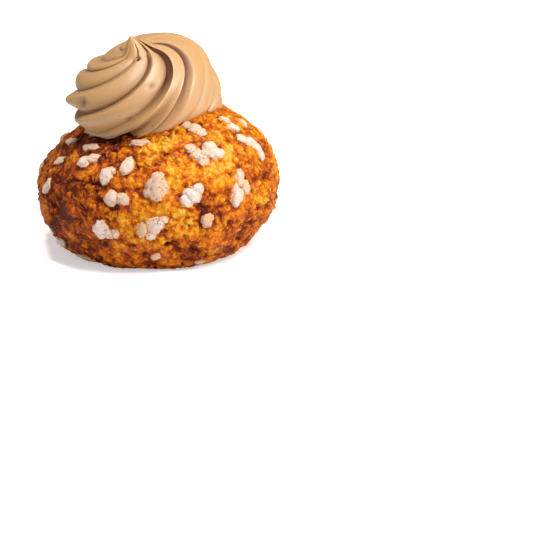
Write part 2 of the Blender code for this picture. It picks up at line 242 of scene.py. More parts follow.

# Places where the crust is browner, and paler where the amount is negative: bearing, rise and
# spread in degrees, and how much browner it is there. The row at a bearing of -36 and a rise of 46
# is painted shadow under the cream's left foot; the other rows make the crust browner or paler
# from place to place.
BROWNING_AND_SHADOW = (
    (-50.0, 3.0, 20.0, 0.30),
    (-80.0, 30.0, 22.0, 0.34),
    (-36.0, 46.0, 15.0, 0.56),
    (-58.0, -18.0, 22.0, 0.20),
    (0.0, -26.0, 24.0, 0.10),
    (40.0, -26.0, 20.0, 0.10),
    (72.0, -4.0, 16.0, 0.12),
    (24.0, 1.0, 8.0, 0.26),
    (30.0, 46.0, 9.0, 0.20),
    (-20.0, 18.0, 7.0, 0.18),
    (14.0, 27.0, 6.0, 0.20),
    (10.0, 41.0, 10.0, -0.26),
    (-2.0, 29.0, 10.0, -0.10),
    (0.0, 6.0, 12.0, -0.10),
    (47.0, 44.0, 14.0, -0.16),
    (37.0, 23.0, 10.0, -0.28),
    (7.0, 21.0, 7.0, -0.20),
    (14.0, -3.0, 9.0, -0.18),
    (-13.0, -4.0, 8.0, -0.10),
)


# --- Form shared with the solids -------------------------------------------------------------


def way_at(bearing, rise):
    """Unit vector at a bearing from the front, positive to the right, and an angle upwards."""
    turn, up = math.radians(bearing), math.radians(rise)
    return Vector((math.sin(turn) * math.cos(up), -math.cos(turn) * math.cos(up), math.sin(up)))


SWELL_WAYS = [(way_at(b, r), math.radians(s), a) for b, r, s, a in SWELLS]
BROWNING_AND_SHADOW_WAYS = [(way_at(b, r), math.radians(s), a) for b, r, s, a in BROWNING_AND_SHADOW]


def crust_point(way, proud=0.0):
    """The crust's point in the direction `way` from the middle of the bun's widest level."""
    height = BUN_RISE if way.z > 0 else BUN_DROP
    half = Vector((BUN_HALF_WIDTH, BUN_HALF_DEPTH, height))
    reach = 1 / math.sqrt(sum((w / h) ** 2 for w, h in zip(way, half)))
    for middle, spread, amount in SWELL_WAYS:
        away = way.angle(middle) / spread
        reach += amount * math.exp(-away * away)
    smooth = way * reach
    for span, amount in LUMPS:
        reach += amount * noise.noise(smooth / span)
    return way * (reach + proud)


def from_middle(point):
    """The point as seen from the middle of the bun's widest level."""
    return point - BUN_OFFSET - Vector((0, 0, BUN_SIT))


def above_crust(point):
    """How far a point stands above the crust."""
    way = from_middle(point)
    return way.length - crust_point(way.normalized()).length


def standing(point):
    """The point raised so that the underside is pressed flat at z = 0, round a soft edge."""
    height = point.z + BUN_SIT
    if height < -BASE_ROUNDING:
        height = 0.0
    elif height < BASE_ROUNDING:
        height = (height + BASE_ROUNDING) ** 2 / (4 * BASE_ROUNDING)
    return Vector((point.x, point.y, height)) + BUN_OFFSET


def nib_seat(bearing, rise, slant):
    """Matrix of a nib's place: X along the nib, Z straight out of the crust."""
    here = standing(crust_point(way_at(bearing, rise)))
    across = standing(crust_point(way_at(bearing + NIB_SLOPE_STEP, rise))) - here
    upward = standing(crust_point(way_at(bearing, rise + NIB_SLOPE_STEP))) - here
    out = across.cross(upward).normalized()
    along = Matrix.Rotation(math.radians(slant), 3, out) @ across.normalized()
    along = (along - out * along.dot(out)).normalized()
    turned = Matrix((along, out.cross(along), out)).transposed()
    return Matrix.Translation(here) @ turned.to_4x4()


def far_nibs():
    """Bearing, rise, length, width and slant of the nibs on the far side, which keep apart
    and clear of the cream."""
    draw = random.Random(FAR_SEED)
    spots, nibs = [], []
    while len(nibs) < FAR_NIBS:
        bearing, rise = draw.uniform(*FAR_BEARINGS), draw.uniform(*FAR_RISES)
        length, slant = draw.uniform(*FAR_LENGTHS), draw.uniform(-90, 90)
        width = length * draw.uniform(*NIB_SLENDERNESS)
        spot = standing(crust_point(way_at(bearing, rise)))
        if (spot - SWIRL_FOOT).xy.length < SWIRL_RADIUS + CREAM_CLEARANCE:
            continue
        if all((spot - other).length > FAR_SPACING for other in spots):
            spots.append(spot)
            nibs.append((bearing, rise, length, width, slant))
    return nibs


def swirl_frame():
    """Matrix of the swirl's own frame: its foot, and its upright as it leans."""
    upright = Vector((-math.sin(LEAN_LEFT), -math.sin(LEAN_FRONT), 1)).normalized()
    right = Vector((1, 0, 0))
    right = (right - upright * right.dot(upright)).normalized()
    turned = Matrix((right, upright.cross(right), upright)).transposed()
    return Matrix.Translation(SWIRL_FOOT) @ turned.to_4x4()


# --- Helpers ---------------------------------------------------------------------------------


def add_object(name, data):
    """A new object in the scene."""
    made = bpy.data.objects.new(name, data)
    bpy.context.scene.collection.objects.link(made)
    return made


def mesh_from(name, bm):
    """The mesh of a bmesh, which is freed."""
    mesh = bpy.data.meshes.new(name)
    bm.to_mesh(mesh)
    bm.free()
    return mesh


def settle_piece(name, bm, replaces, material):
    """Makes a smooth-shaded piece from a bmesh, and gives it to the frame."""
    mesh = mesh_from(name, bm)
    mesh.shade_smooth()
    mesh.materials.append(material)
    piece = add_object(name, mesh)
    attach(piece, "root")
    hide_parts(replaces)


def add_node(tree, kind, sockets=None, **settings):
    """A new node with its settings; `sockets` gives values, or the sockets that feed it."""
    node = tree.nodes.new(kind)
    for name, value in settings.items():
        setattr(node, name, value)
    for key, value in (sockets or {}).items():
        if isinstance(value, bpy.types.NodeSocket):
            tree.links.new(value, node.inputs[key])
        else:
            node.inputs[key].default_value = value
    return node


def combine(tree, operation, first, second=0.0, third=0.0, clamp=False):
    """The result of a Math node."""
    sockets = {0: first, 1: second, 2: third}
    made = add_node(tree, "ShaderNodeMath", sockets, operation=operation, use_clamp=clamp)
    return made.outputs[0]


def blend_colours(tree, factor, first, second):
    """The colour between two, by a factor; a plain colour comes without its alpha."""
    sockets = {0: factor}
    for key, colour in ((6, first), (7, second)):
        sockets[key] = colour if isinstance(colour, bpy.types.NodeSocket) else (*colour, 1)
    return add_node(tree, "ShaderNodeMix", sockets, data_type="RGBA").outputs[2]


def ramp(tree, value, stops):
    """Colours at stops along a value."""
    made = add_node(tree, "ShaderNodeValToRGB", {0: value})
    elements = made.color_ramp.elements
    while len(elements) < len(stops):
        elements.new(0.5)
    for element, (position, colour) in zip(elements, stops):
        element.position = position
        element.color = (*colour, 1)
    return made.outputs[0]


def span(tree, value, low, high, out_low=0.0, out_high=1.0):
    """A value mapped smoothly from one range to another."""
    sockets = {"Value": value, 1: low, 2: high, 3: out_low, 4: out_high}
    made = add_node(tree, "ShaderNodeMapRange", sockets, interpolation_type="SMOOTHSTEP")
    return made.outputs[0]


def millimetres(tree):
    """Object coordinates in millimetres."""
    place = add_node(tree, "ShaderNodeTexCoord").outputs["Object"]
    scaled = add_node(tree, "ShaderNodeMapping", {"Vector": place, "Scale": (1000, 1000, 1000)})
    return scaled.outputs[0]


def new_group(name, inputs, outputs):
    """A shader node group with named value sockets, and its input and output nodes."""
    tree = bpy.data.node_groups.new(name, "ShaderNodeTree")
    for label, kind, value in inputs:
        socket = tree.interface.new_socket(label, in_out="INPUT", socket_type=kind)
        if value is not None:
            socket.default_value = value
    for label, kind in outputs:
        tree.interface.new_socket(label, in_out="OUTPUT", socket_type=kind)
    return tree, tree.nodes.new("NodeGroupInput"), tree.nodes.new("NodeGroupOutput")


def flecks_group():
    """Group: small round flecks strewn over a surface."""
    if "Flecks" in bpy.data.node_groups:
        return bpy.data.node_groups["Flecks"]
    inputs = (
        ("Place", "NodeSocketVector", None),
        ("Spacing", "NodeSocketFloat", 2.0),
        ("Radius", "NodeSocketFloat", 0.2),
        ("Share", "NodeSocketFloat", 0.5),
    )
    tree, given, result = new_group("Flecks", inputs, [("Mask", "NodeSocketFloat")])
    closeness = combine(tree, "DIVIDE", 1.0, given.outputs["Spacing"])
    cells = add_node(
        tree, "ShaderNodeTexVoronoi", {"Vector": given.outputs["Place"], "Scale": closeness}
    )
    away = combine(tree, "MULTIPLY", cells.outputs["Distance"], given.outputs["Spacing"])
    chance = add_node(tree, "ShaderNodeSeparateColor", {0: cells.outputs["Color"]})
    own_size = combine(tree, "MULTIPLY_ADD", chance.outputs[1], 0.7, 0.5)
    edge = combine(tree, "MULTIPLY", given.outputs["Radius"], own_size)
    inner = combine(tree, "MULTIPLY", edge, 0.5)
    shade = span(tree, away, inner, edge, 1.0, 0.0)
    present = combine(tree, "LESS_THAN", chance.outputs[0], given.outputs["Share"])
    mask = combine(tree, "MULTIPLY", shade, present)
    tree.links.new(mask, result.inputs["Mask"])
    return tree


def mottle_group():
    """Group: soft mottling, centred on nought."""
    if "Mottle" in bpy.data.node_groups:
        return bpy.data.node_groups["Mottle"]
    inputs = (
        ("Place", "NodeSocketVector", None),
        ("Span", "NodeSocketFloat", 2.0),
        ("Detail", "NodeSocketFloat", 3.0),
        ("Amount", "NodeSocketFloat", 1.0),
    )
    tree, given, result = new_group("Mottle", inputs, [("Value", "NodeSocketFloat")])
    closeness = combine(tree, "DIVIDE", 1.0, given.outputs["Span"])
    place, detail = given.outputs["Place"], given.outputs["Detail"]
    sockets = {"Vector": place, "Scale": closeness, "Detail": detail, "Roughness": 0.6}
    cloud = add_node(tree, "ShaderNodeTexNoise", sockets)
    centred = combine(tree, "SUBTRACT", cloud.outputs[0], 0.5)
    value = combine(tree, "MULTIPLY", centred, given.outputs["Amount"])
    tree.links.new(value, result.inputs["Value"])
    return tree


def flecks(tree, place, spacing, radius, share):
    """The mask of strewn flecks; sizes in millimetres."""
    sockets = {"Place": place, "Spacing": spacing, "Radius": radius, "Share": share}
    made = add_node(tree, "ShaderNodeGroup", sockets, node_tree=flecks_group())
    return made.outputs["Mask"]


def mottle(tree, place, over, amount, detail=3.0):
    """Soft mottling with this span in millimetres."""
    sockets = {"Place": place, "Span": over, "Detail": detail, "Amount": amount}
    made = add_node(tree, "ShaderNodeGroup", sockets, node_tree=mottle_group())
    return made.outputs["Value"]


def attribute(tree, name):
    """The value that a piece's points carry under a name."""
    return add_node(tree, "ShaderNodeAttribute", attribute_name=name).outputs["Fac"]


def new_material(name, **constants):
    """A material's tree, shader and place in millimetres; `constants` are the shader's values."""
    material = bpy.data.materials.new(name)
    material.use_nodes = True
    shader = material.node_tree.nodes["Principled BSDF"]
    for label, value in constants.items():
        shader.inputs[label.replace("_", " ")].default_value = value
    return material, material.node_tree, shader, millimetres(material.node_tree)


def bump(tree, shader, height, depth):
    """Feeds a height to the shader's normal."""
    made = add_node(tree, "ShaderNodeBump", {"Height": height, "Distance": depth})
    tree.links.new(made.outputs[0], shader.inputs["Normal"])


# --- Settings --------------------------------------------------------------------------------


def colour_setting(name, description, default):
    """A colour that a user can change."""
    return FloatVectorProperty(
        name=name, description=description, default=default, subtype="COLOR", min=0, max=1
    )


def length_setting(name, description, default):
    """A length that a user can change."""
    return FloatProperty(
        name=name, description=description, default=default, unit="LENGTH", min=0, precision=5
    )


def power_setting(light, default):
    """The power of a light, which a user can change."""
    return FloatProperty(
        name=f"{light} light", description=f"Power of the {light.lower()} light", default=default,
        min=0, unit="POWER",
    )


class CrustSettings(bpy.types.PropertyGroup):
    """Sizes and colours of the crust."""

    cuts: IntProperty(
        name="Cuts", description="Cuts along each side of the cube the crust is blown up from",
        default=124, min=4, max=126,
    )
    clod_height: length_setting("Clod height", "Height of the crust's clods", 0.42 * MM)
    crumb_height: length_setting("Crumb height", "Height of the crumbs on the clods", 1.0 * MM)
    grain_height: length_setting("Grain height", "Height of single grains", 1.0 * MM)
    pit_depth: length_setting("Pit depth", "Depth of the burst pits", 0.8 * MM)
    crack_depth: length_setting("Crack depth", "Depth of the fine cracks", 0.5 * MM)
    pale: colour_setting("Pale", "Colour of the palest crumbs", (1.0, 0.60, 0.13))
    golden: colour_setting("Golden", "Colour of the golden crust", (1.0, 0.445, 0.016))
    amber: colour_setting("Amber", "Colour of the well-baked crust", (0.86, 0.220, 0.005))
    brown: colour_setting("Brown", "Colour of the browned crust", (0.55, 0.095, 0.006))
    dark: colour_setting("Dark", "Colour of the darkest places", (0.16, 0.024, 0.006))


class SugarSettings(bpy.types.PropertyGroup):
    """Sizes and colours of the pearl sugar."""

    unevenness: FloatProperty(
        name="Unevenness", description="How far a nib departs from an oval", default=0.34,
        min=0, max=0.8, subtype="FACTOR",
    )
    white: colour_setting("White", "Colour of the sugar", (0.84, 0.70, 0.645))
    toasted: colour_setting("Toasted", "Colour of toasted sugar", (0.62, 0.37, 0.22))
    edge: colour_setting("Edge", "Colour where sugar meets the crust", (0.90, 0.50, 0.22))
    speck: colour_setting("Speck", "Colour of the specks", (0.34, 0.17, 0.10))


class CreamSettings(bpy.types.PropertyGroup):
    """Sizes and colours of the cream."""

    points: IntProperty(
        name="Points", description="Points across each rib", default=32, min=6, max=40
    )
    rings: IntProperty(
        name="Rings", description="Rings from the crust to the tip", default=170, min=20, max=260
    )
    body: colour_setting("Body", "Colour of the cream", (0.65, 0.365, 0.147))
    # Colour of the painted shade in the grooves and in the bubbles' dents.
    deep: colour_setting("Deep", "Colour deep in the grooves", (0.17, 0.040, 0.002))
    fleck: colour_setting("Fleck", "Colour of the coffee flecks", (0.16, 0.075, 0.03))


class StudioSettings(bpy.types.PropertyGroup):
    """Camera and light."""

    lens: FloatProperty(
        name="Lens", description="Focal length", default=120.0, min=20, unit="CAMERA"
    )
    elevation: FloatProperty(
        name="Elevation", description="How far the camera looks down", subtype="ANGLE",
        default=math.radians(16),
    )
    pixel: length_setting("Pixel", "Size of a pixel at the bun's middle", 70 / 244 * MM)
    target: FloatVectorProperty(
        name="Target", description="The point the picture is placed by", unit="LENGTH",
        default=(0.0, 0.0, 26.2 * MM), precision=5,
    )
    across: FloatProperty(
        name="Across", description="Pixels from the picture's left edge to that point",
        default=159.5,
    )
    down: FloatProperty(
        name="Down", description="Pixels from the picture's top edge to that point",
        default=150.0,
    )
    key_power: power_setting("Key", 4.6)
    top_power: power_setting("Top", 3.3)
    side_power: power_setting("Side", 2.9)
    surroundings: FloatProperty(
        name="Surroundings", description="Strength of the light from all round", default=0.14,
        min=0,
    )
    floor: colour_setting("Floor", "Colour of the floor", (0.93, 0.93, 0.93))
    floor_glow: FloatProperty(
        name="Floor glow", description="Light the floor gives off to the camera", default=0.5, min=0
    )


# --- Crust -----------------------------------------------------------------------------------

CRUST_SEED = 5
# Fine relief, in millimetres: spans of the clods, crumbs and grains, how far the crumbs are drawn
# out of shape, the pits' spacing and size, the cracks' spans and width, and how strong the
# crumbs and grains are from place to place.
CLOD_SPAN, CRUMB_SPAN, GRAIN_SPAN = 3.1, 2.3, 1.2
DRAWN, DRAWN_SPAN = 1.1, 1.8
CELL_MIDDLE = 0.45
PIT_SPACING, PIT_SIZE = 4.4, 0.2
CRACK_SPAN, CRACK_BRANCH_SPAN, CRACK_PATCH_SPAN, CRACK_WIDTH = 8.5, 2.6, 16.0, 0.045
ROUGH, ROUGH_SWING, ROUGH_SPAN, ROUGH_LEAST, ROUGH_MOST = 0.85, 1.3, 6.5, 0.3, 1.3
# How browned the crust is: everywhere, in patches and blotches (span in millimetres and amount),
# on the far side, underneath, and in a ring round each nib, whose radius is in nibs' radii.
BROWNED = 0.385
PATCHES, BLOTCHES, FAR_PATCHES = (5.2, 0.27), (2.3, 0.16), (17.0, 0.35)
UNDERSIDE_BROWNING = 0.25
CARAMEL, CARAMEL_RADIUS, CARAMEL_WIDTH = 0.16, 1.25, 0.35


def cloud(place, over, shift=(0, 0, 0)):
    """Smooth noise with this span; a shift gives it a draw of its own."""
    return noise.noise(place / over + Vector(shift))


def cell(place, over, shift=(0, 0, 0)):
    """How far the nearest of many strewn points is, in spans."""
    return noise.voronoi(place / over + Vector(shift))[0][0]


def crust_relief(place, crust):
    """How far the crust's fine relief stands out at a place in millimetres."""
    drawn = place + DRAWN * noise.noise_vector(place / DRAWN_SPAN)
    crumb = CELL_MIDDLE - cell(drawn, CRUMB_SPAN)
    grain = CELL_MIDDLE - cell(drawn, GRAIN_SPAN, (2, 9, 4))
    rough = ROUGH + ROUGH_SWING * cloud(place, ROUGH_SPAN, (9, 3, 6))
    rough = min(ROUGH_MOST, max(ROUGH_LEAST, rough))
    pit = max(0.0, 1 - cell(place, PIT_SPACING, (3, 5, 8)) / PIT_SIZE)
    line = cloud(place, CRACK_SPAN) + 0.3 * cloud(place, CRACK_BRANCH_SPAN)
    present = min(1.0, max(0.0, 0.3 + 3 * cloud(place, CRACK_PATCH_SPAN, (5, 5, 5))))
    crack = present * math.exp(-((line / CRACK_WIDTH) ** 2))
    height = crust.clod_height * cloud(place, CLOD_SPAN, (7, 1, 3))
    height += rough * (crust.crumb_height * crumb + crust.grain_height * grain)
    return height - crust.pit_depth * pit - crust.crack_depth * crack


def browning_and_shadow_at(way, place):
    """How browned the crust is, from 0 to 1, in the direction `way`, with the painted shadow
    under the cream's left foot.
    """
    tone = BROWNED + UNDERSIDE_BROWNING * min(0.0, way.z) ** 2
    for middle, spread, amount in BROWNING_AND_SHADOW_WAYS:
        away = way.angle(middle) / spread
        tone += amount * math.exp(-away * away)
    for (over, amount), shift, share in (
        (PATCHES, (4, 4, 1), 1), (BLOTCHES, (1, 8, 2), 1), (FAR_PATCHES, (0, 0, 0), max(0, way.y)),
    ):
        tone += share * amount * cloud(place, over, shift)
    return tone


def caramel_round(nibs, spots, point):
    """How much browner the crust is at a point, because a nib is near."""
    _, index, away = spots.find(point)
    _, _, length, width, _ = nibs[index]
    away /= NIB_FLARE * (length + width) / 4
    return CARAMEL * math.exp(-(((away - CARAMEL_RADIUS) / CARAMEL_WIDTH) ** 2))


class PUFF_OT_crust(bpy.types.Operator):
    """Makes the baked crust"""

    bl_idname = "puff.crust"
    bl_label = "Crust"

    def execute(self, context):
        crust = context.scene.puff_crust
        bm = bmesh.new()
        bmesh.ops.create_cube(bm, size=2)
        bmesh.ops.subdivide_edges(bm, edges=bm.edges[:], cuts=crust.cuts, use_grid_fill=True)
        browned = bm.verts.layers.float.new("browning")
        hollow = bm.verts.layers.float.new("hollow")
        nibs = (*SEEN_NIBS, *far_nibs())
        spots = kdtree.KDTree(len(nibs))
        for index, (bearing, rise, *_) in enumerate(nibs):
            spots.insert(crust_point(way_at(bearing, rise)), index)
        spots.balance()
        # Without a seed, noise_vector starts from the clock.
        noise.seed_set(CRUST_SEED)
        for vert in bm.verts:
            way = Vector([math.tan(c * math.pi / 4) for c in vert.co]).normalized()
            point = crust_point(way)
            height = crust_relief(point / MM, crust)
            vert.co = standing(point + way * height)
            # The browning includes the painted shadow under the cream's left foot.
            vert[browned] = browning_and_shadow_at(way, point / MM) + caramel_round(nibs, spots, point)
            # The depth of the relief, which the crust's colour turns into painted shade in the
            # hollows.
            vert[hollow] = -height / MM
        bmesh.ops.recalc_face_normals(bm, faces=bm.faces)
        settle_piece("crust", bm, "choux_bun", crust_material(crust))
        return {"FINISHED"}


def grain_gaps(tree, place):
    """A mask of the gaps between curly grains: 0 on a grain's top and about 0.8 in a gap."""
    curl = add_node(tree, "ShaderNodeTexNoise", {"Vector": place, "Scale": 1.0, "Detail": 3.0})
    curled = add_node(
        tree, "ShaderNodeVectorMath", {0: curl.outputs["Color"], 1: (2.4, 2.4, 2.4), 2: place},
        operation="MULTIPLY_ADD",
    ).outputs[0]
    coarse, fine = (
        add_node(tree, "ShaderNodeTexVoronoi", {"Vector": curled, "Scale": closeness})
        for closeness in (0.75, 1.8)
    )
    gaps = combine(tree, "MULTIPLY", coarse.outputs["Distance"], 0.65)
    return combine(tree, "MULTIPLY_ADD", fine.outputs["Distance"], 0.35, gaps)


def crust_material(crust):
    """Baked crust: crumbs from pale gold to dark brown, matt with small glossy points."""
    material, tree, shader, place = new_material(
        "baked crust", Specular_IOR_Level=0.1, Coat_Weight=0.08, Coat_Roughness=0.2,
        Subsurface_Weight=0.12, Subsurface_Radius=(1.0, 0.4, 0.15), Subsurface_Scale=0.8 * MM,
    )
    grains = grain_gaps(tree, place)
    # The browning that the points carry includes the painted shadow under the cream's left foot.
    hollow, browning = attribute(tree, "hollow"), attribute(tree, "browning")
    # Painted shade: the tone is darker in the hollows of the relief.
    tone = combine(tree, "MULTIPLY_ADD", hollow, 0.45, browning)
    tone = combine(tree, "ADD", tone, mottle(tree, place, over=1.1, amount=0.62, detail=5.0))
    tone = combine(tree, "ADD", tone, span(tree, grains, 0.05, 0.8, -0.22, 0.30))
    stops = (
        (0.0, crust.pale), (0.27, crust.golden), (0.5, crust.amber), (0.74, crust.brown),
        (1.0, crust.dark),
    )
    tree.links.new(ramp(tree, tone, stops), shader.inputs["Base Color"])
    uneven = mottle(tree, place, over=1.3, amount=0.8)
    roughness = combine(tree, "ADD", 0.5, uneven, clamp=True)
    tree.links.new(roughness, shader.inputs["Roughness"])
    rough = combine(tree, "ADD", mottle(tree, place, over=7.0, amount=2.2, detail=1.0), -0.9)
    fine = mottle(tree, place, over=0.5, amount=0.8, detail=4.0)
    bump(tree, shader, combine(tree, "MULTIPLY_ADD", grains, rough, fine), 0.7 * MM)
    return material


# --- Pearl sugar -----------------------------------------------------------------------------

NIB_STEPS = 4
SUGAR_SEED = 23
# Lumps of a nib: closeness and share.
NIB_LUMPS = ((1.1, 1.0), (2.6, 0.55), (6, 0.34), (13, 0.22))
# How toasted the nibs seen from the front are, and how many dark specks they have.
TOASTED = {
    0: 0.3, 1: 0.15, 7: 0.35, 12: 0.75, 13: 0.6, 17: 0.3, 18: 0.3, 19: 0.4, 20: 0.4, 23: 0.35,
    24: 0.4, 25: 0.35, 33: 0.4, 34: 0.2, 35: 0.45, 36: 0.85, 40: 0.7, 44: 0.4, 45: 0.65, 47: 0.55,
}
PLAIN_SPECKLES = 0.3
SPECKLED = {12: 1.0, 13: 1.0, 17: 0.8, 18: 0.8, 19: 0.8, 37: 0.7, 38: 0.7, 41: 1.0, 42: 1.0}


class PUFF_OT_sugar(bpy.types.Operator):
    """Makes the nibs of pearl sugar baked onto the crust"""

    bl_idname = "puff.sugar"
    bl_label = "Pearl sugar"

    def execute(self, context):
        sugar = context.scene.puff_sugar
        draw = random.Random(SUGAR_SEED)
        bm = bmesh.new()
        toasted = bm.verts.layers.float.new("toasted")
        proud = bm.verts.layers.float.new("proud")
        speckled = bm.verts.layers.float.new("speckled")
        for index, nib in enumerate((*SEEN_NIBS, *far_nibs())):
            toast = TOASTED.get(index, 0.0) if index < len(SEEN_NIBS) else draw.random() ** 3
            seed = Vector([draw.uniform(0, 90) for _ in range(3)])
            for vert in add_nib(bm, nib, seed, sugar.unevenness):
                vert[toasted] = toast
                vert[speckled] = SPECKLED.get(index, PLAIN_SPECKLES)
                vert[proud] = above_crust(vert.co) / MM
        material = sugar_material(sugar)
        settle_piece("pearl_sugar", bm, "choux_bun", material)
        return {"FINISHED"}


def add_nib(bm, nib, seed, unevenness):
    """Adds one lumpy nib, sunk in the crust, and returns its points."""
    bearing, rise, length, width, slant = nib
    length, width = length * NIB_FLARE, width * NIB_FLARE
    thickness = NIB_THICKNESS * width
    made = bmesh.ops.create_icosphere(bm, subdivisions=NIB_STEPS, radius=0.5)["verts"]
    for vert in made:
        way = vert.co.normalized()
        lumps = (share * noise.noise(way * closeness + seed) for closeness, share in NIB_LUMPS)
        vert.co *= 1 + unevenness * sum(lumps)
    bmesh.ops.scale(bm, vec=(length, width, thickness), verts=made)
    bmesh.ops.translate(bm, vec=(0, 0, (NIB_PROUD - 0.5) * thickness), verts=made)
    bmesh.ops.transform(bm, matrix=nib_seat(bearing, rise, slant), verts=made)
    return made


def sugar_material(sugar):
    """Pearl sugar: rough opaque white with a rosy cast, toasted in places, with dark specks."""
    material, tree, shader, place = new_material(
        "pearl sugar", Roughness=0.55, Subsurface_Weight=0.35,
        Subsurface_Radius=(1.0, 0.75, 0.6), Subsurface_Scale=0.8 * MM,
    )
    proud = combine(
        tree, "ADD", attribute(tree, "proud"), mottle(tree, place, over=1.2, amount=0.9)
    )
    edge = span(tree, proud, 0.0, 1.0, out_low=0.75, out_high=0.0)
    toasting = mottle(tree, place, over=1.6, amount=0.8)
    toasted = combine(tree, "ADD", attribute(tree, "toasted"), toasting, clamp=True)
    specks = flecks(tree, place, spacing=0.75, radius=0.3, share=0.75)
    specks = combine(tree, "MULTIPLY", specks, attribute(tree, "speckled"))
    colour = blend_colours(tree, toasted, sugar.white, sugar.toasted)
    colour = blend_colours(tree, edge, colour, sugar.edge)
    colour = blend_colours(tree, specks, colour, sugar.speck)
    tree.links.new(colour, shader.inputs["Base Color"])
    bump(tree, shader, mottle(tree, place, over=0.6, amount=1.4, detail=4.0), 0.22 * MM)
    return material


# --- Cream -----------------------------------------------------------------------------------

UNDERSIDE_RINGS = 10
SUNK = 0.5 * MM
# The climbs between which the cream meets the crust, and how often their gap is halved.
LOWEST_CLIMB, HIGHEST_CLIMB = -0.5, 0.6
HALVINGS = 16
WELD = 0.01 * MM
# How fast the painted shade of the grooves comes in below the tip.
TIP_FADE = 4
RIPPLE, RIPPLE_SPAN = 0.12 * MM, 6.5 * MM
# Burst bubbles: flute, climb, radius and depth.
BUBBLES = (
    (5.22, 0.478, 1.7 * MM, 0.9 * MM),
    (6.43, 0.592, 1.2 * MM, 0.55 * MM),
    (6.88, 0.340, 0.8 * MM, 0.45 * MM),
    (7.77, 0.226, 0.6 * MM, 0.4 * MM),
    (5.15, 0.850, 0.8 * MM, 1.6 * MM),
)
# How many radii a bubble's dent reaches; the low rim round it, as a share of the depth, and the
# rim's radius and width in bubbles' radii; how high up the swirl the dents point to; and how much
# painted shade a millimetre of depth puts in them.
DENT_REACH = 3
DENT_RIM, RIM_RADIUS, RIM_WIDTH = 0.16, 1.35, 0.35
DENTS_AIM = 0.35
DENT_PAINTED_SHADE = 0.7


def between(values, climb):
    """A value that runs smoothly through those at the low, middle and high climb."""
    low, middle, high = values
    lowest, highest = SHAPED_CLIMBS
    step = (min(highest, max(lowest, climb)) - MIDDLE) / (HIGH - MIDDLE)
    return middle + step * (high - low) / 2 + step * step * ((high + low) / 2 - middle)


def flank(down, roundness):
    """How far down a rib's side is, from 0 at its crest to 1 at the groove's bottom."""
    return down**roundness if roundness > 1 else 1 - (1 - down) ** (1 / max(0.5, roundness))


def rib_span(climb, index):
    """Where a rib starts, has its crest and ends, in flutes round the cream."""
    ends = []
    for which in (index, index + 1):
        rounds, groove = divmod(which, len(GROOVES))
        ends.append(FLUTES * rounds + between(GROOVES[groove].where, climb))
    start, end = ends
    rise = between(GROOVES[index % len(GROOVES)].crest, climb)
    return start, start + min(rise, WIDEST_RISE * (end - start)), end


def rib_form(climb, rib):
    """Where round the cream a line along a rib runs, in flutes, how deep it lies and how much
    painted shade it carries: `rib` is whole at a groove's bottom, from where it rises to the crest
    and falls again."""
    index, part = int(rib), rib % 1.0
    start, crest, end = rib_span(climb, index)
    if part < RISE_SHARE:
        down = 1 - part / RISE_SHARE
        flute = crest + (start - crest) * down
        groove = GROOVES[index % len(GROOVES)]
        roundness, closeness = groove.after, PAINTED_SHADE_RISING
    else:
        down = math.sin(math.pi / 2 * (part - RISE_SHARE) / (1 - RISE_SHARE))
        flute = crest + (end - crest) * down
        groove = GROOVES[(index + 1) % len(GROOVES)]
        roundness, closeness = groove.before, PAINTED_SHADE_FALLING
    down = flank(down, between(roundness, climb))
    # The painted shade at the groove's bottom, which also sharpens the bottom.
    dark = max(0.0, between(groove.dark, climb))
    crease = CREASE * min(1.0, dark) * down**CREASE_SHARPNESS
    depth = max(0.0, between(groove.depth, climb)) * (down + crease)
    return flute, depth * MM, dark * down**closeness


def rib_place(climb, flute):
    """The rib, with its fraction, at a place given in flutes round."""
    for index in range(2 * len(GROOVES)):
        start, crest, end = rib_span(climb, index)
        if start <= flute < crest:
            return index + RISE_SHARE * (flute - start) / (crest - start)
        if crest <= flute < end:
            part = math.asin((flute - crest) / (end - crest)) * 2 / math.pi
            return index + RISE_SHARE + (1 - RISE_SHARE) * part
    raise ValueError(flute)


def cream_point(frame, climb, rib):
    """A point of the cream: `climb` is 0 at the foot and 1 at the tip, and `rib` goes round
    from groove to groove."""
    lift = math.sin(climb * math.pi / 2)
    reach = SWIRL_RADIUS * (1 - TUCK * lift * lift)
    middle = Vector((0, 0, SWIRL_HEIGHT * lift))
    if climb > 0:
        reach = SWIRL_RADIUS * max(0.0, 1 - lift**SHOULDER_POWER) ** (1 / SHOULDER_ROUNDING)
        peak = max(0.0, 1 - (reach / PEAK_SPAN) ** PEAK_BLUNTNESS) ** 2
        middle += (TIP_DRIFT * climb**DRIFT_POWER + PEAK_DRIFT * peak).to_3d()
        middle.z += PEAK_RISE * peak
    flute, groove, _ = rib_form(climb, rib)
    bearing = FIRST_CREST + 2 * math.pi * flute / FLUTES - TWIST * (1 - climb)
    outward = Vector((math.cos(bearing), math.sin(bearing), 0))
    clear = above_crust(frame @ (middle + outward * reach))
    near = min(1.0, max(0.0, 1 - clear / FOOT_SPAN))
    nearer = min(1.0, max(0.0, 1 - clear / FOOT_ROUNDING))
    groove = min(groove * min(1.0, reach / SMOOTH_SPAN) ** 2, DEEPEST_SHARE * reach)
    reach -= groove * (1 - FOOT_FILL * near) + FOOT_ROUNDING * (1 - math.sqrt(1 - nearer**2))
    for around, high, wide, tall, share in RIB_SWELLS:
        away = (flute - around + FLUTES / 2) % FLUTES - FLUTES / 2
        reach *= 1 + share * math.exp(-((away / wide) ** 2) - ((climb - high) / tall) ** 2)
    outward.rotate(Matrix.Rotation(-FOOT_SWEEP * near * near, 3, "Z"))
    return frame @ (middle + outward * reach)


